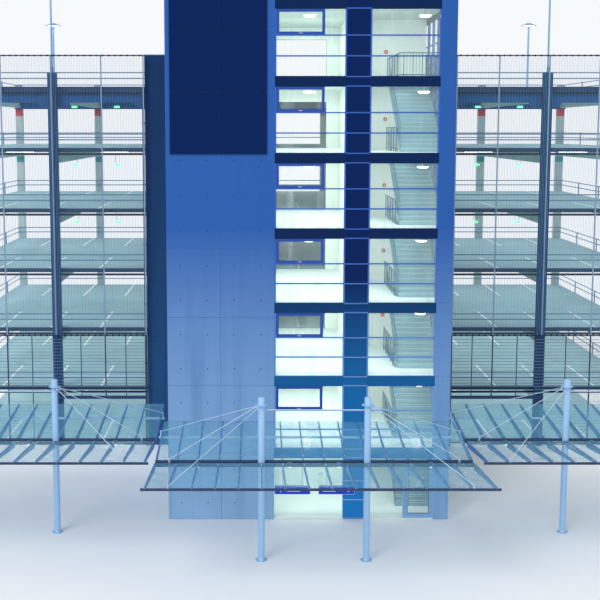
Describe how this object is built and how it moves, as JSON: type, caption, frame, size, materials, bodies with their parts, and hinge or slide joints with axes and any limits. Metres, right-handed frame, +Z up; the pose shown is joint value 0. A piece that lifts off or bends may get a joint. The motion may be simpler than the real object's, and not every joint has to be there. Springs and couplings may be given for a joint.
{
  "type": "multi storey car park",
  "caption": "Multi storey car park: open parking decks on both sides of a glazed stair tower, with three glass canopies on masts in front.",
  "frame": {"origin": "bottom centre of the bounding box, at ground level", "axes": "+X to the right seen from the street, +Y away from the street, +Z up"},
  "size_m": [35.988, 36.675, 23.15],
  "materials": {
    "concrete": "matt",
    "dark_glass": "polished",
    "clear_glass": "clear",
    "navy_metal": "satin",
    "frame_metal": "satin",
    "galvanised": "satin",
    "mast_paint": "satin",
    "stainless": "brushed",
    "lamp": "lit",
    "sign_face": "satin"
  },
  "bodies": {
    "building": {"back_lintels": "concrete", "back_walls": "concrete", "canopy_lugs": "galvanised", "canopy_masts": "mast_paint", "canopy_panes": "clear_glass", "canopy_stays": "galvanised", "core_front_wall": "concrete", "dark_glass_panels": "dark_glass", "deck_rails": "galvanised", "dividing_walls": "concrete", "downstand_beams": "concrete", "edge_tubes": "galvanised", "floor_edges": "concrete", "frame_hinges": "stainless", "front_columns": "concrete", "front_glass": "clear_glass", "front_piers": "concrete", "front_ribs": "galvanised", "inner_walls": "concrete", "lobby_floors": "concrete", "luminaires": "lamp", "mast_plates": "mast_paint", "mullions": "frame_metal", "parking_decks": "concrete", "pier_walls": "concrete", "portal_beams": "navy_metal", "rail_posts": "galvanised", "rear_columns": "concrete", "rear_ribs": "galvanised", "roof_edge_beams": "concrete", "roof_lamps": "lamp", "roof_poles": "galvanised", "screen_brackets": "navy_metal", "screen_cables": "galvanised", "screen_posts": "navy_metal", "screen_rods": "galvanised", "screen_tubes": "navy_metal", "side_glass": "clear_glass", "side_rails": "galvanised", "sign_hangers": "galvanised", "sign_panels": "sign_face", "spandrel_panels": "navy_metal", "stair_balusters": "stainless", "stair_handrails": "stainless", "stair_landings": "concrete", "stair_risers": "galvanised", "stair_stringers": "galvanised", "stair_treads": "galvanised", "tower_roof": "concrete", "transoms": "frame_metal", "valley_spacers": "galvanised", "valley_tubes": "galvanised", "vent_rails": "frame_metal", "vent_stiles": "frame_metal"},
    "entrance_door": {"door_glass": "clear_glass", "door_hinges": "stainless", "door_pull": "stainless", "door_rails": "frame_metal", "door_stiles": "frame_metal"}
  },
  "joints": [
    {"name": "entrance_door_hinge", "type": "hinge", "parent": "building", "child": "entrance_door", "pos_m": [5.036, -9.6045, 0.06], "axis": [0, 0, 1], "range_deg": [0, 95]}
  ]
}
